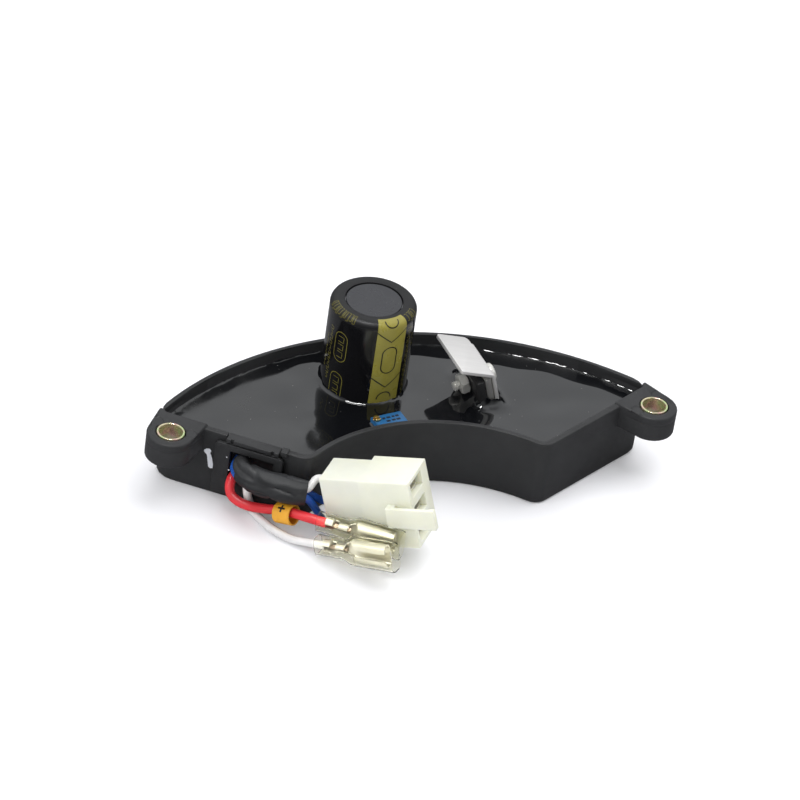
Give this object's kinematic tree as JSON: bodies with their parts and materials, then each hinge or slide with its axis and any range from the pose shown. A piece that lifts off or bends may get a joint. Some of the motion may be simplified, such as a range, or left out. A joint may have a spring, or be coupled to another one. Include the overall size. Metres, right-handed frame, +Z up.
{
  "type": "automatic voltage regulator",
  "caption": "Potted automatic voltage regulator in an arc-shaped tray with two bolt lugs, capacitor, heat-sink bracket, trimmer and short leads.",
  "frame": {"origin": "middle of the tray's box on the plane of its underside, without the leads", "axes": "+X from the left lug (the leads' side) to the right lug, +Y from the hollow front arc to the round back arc, +Z up out of the potted face"},
  "size_m": [0.156, 0.0919, 0.0455],
  "materials": {
    "black_housing": "semi-matte moulded",
    "black_gate": "semi-matte moulded",
    "black_resin": "mirror gloss with dust",
    "yellow_zinc_steel": "yellow passivated",
    "board_green": "coated laminate",
    "white_ceramic": "matte ceramic",
    "film_red": "satin epoxy",
    "moulded_black": "fine matte",
    "bright_aluminium": "bright brushed",
    "can_aluminium": "drawn",
    "capacitor_skin": "glossy shrink film with gold print",
    "capacitor_disc": "satin",
    "tinned_metal": "tinned",
    "trimmer_blue": "satin",
    "brass": "bright",
    "zinc_steel": "bright zinc",
    "red_insulation": "satin",
    "white_insulation": "satin",
    "blue_insulation": "satin",
    "heat_shrink_grey": "wrinkled satin",
    "marker_yellow": "satin",
    "natural_nylon": "translucent satin",
    "clear_pvc": "clear, slightly yellow"
  },
  "bodies": {
    "regulator": {"housing_tray": "black_housing", "wire_gate": "black_gate", "lug_bushing_left": "yellow_zinc_steel", "lug_bushing_right": "yellow_zinc_steel", "potting_resin": "black_resin", "circuit_board": "board_green", "power_resistor": "white_ceramic", "film_capacitor": "film_red", "rectifier_diode_1": "moulded_black", "rectifier_diode_2": "moulded_black", "rectifier_diode_3": "moulded_black", "rectifier_diode_4": "moulded_black", "control_transistor": "moulded_black", "capacitor_can": "can_aluminium", "capacitor_sleeve": "capacitor_skin", "capacitor_top_disc": "capacitor_disc", "capacitor_pin_1": "tinned_metal", "capacitor_pin_2": "tinned_metal", "heat_sink_bracket": "bright_aluminium", "transistor_body": "moulded_black", "transistor_backplate": "tinned_metal", "transistor_lead_1": "tinned_metal", "transistor_lead_2": "tinned_metal", "transistor_lead_3": "tinned_metal", "bracket_screw": "zinc_steel", "bracket_nut": "zinc_steel", "trimmer_body": "trimmer_blue", "trimmer_pin_1": "tinned_metal", "trimmer_pin_2": "tinned_metal", "trimmer_pin_3": "tinned_metal", "lead_red": "red_insulation", "lead_white": "white_insulation", "lead_sense_white": "white_insulation", "lead_blue_upper": "blue_insulation", "lead_blue_lower": "blue_insulation", "heat_shrink_sleeve": "heat_shrink_grey", "polarity_marker": "marker_yellow", "connector_housing": "natural_nylon", "connector_terminal_1": "brass", "connector_terminal_2": "brass", "connector_terminal_3": "brass", "terminal_red": "brass", "terminal_white": "brass", "terminal_sleeve_red": "clear_pvc", "terminal_sleeve_white": "clear_pvc"},
    "adjusting_screw": {"trimmer_screw": "brass"}
  },
  "joints": [
    {"name": "adjusting_screw_turn", "type": "hinge", "parent": "regulator", "child": "adjusting_screw", "pos_m": [-0.01013, -0.00948, 0.019], "axis": [0, 0, 1], "continuous": true}
  ]
}
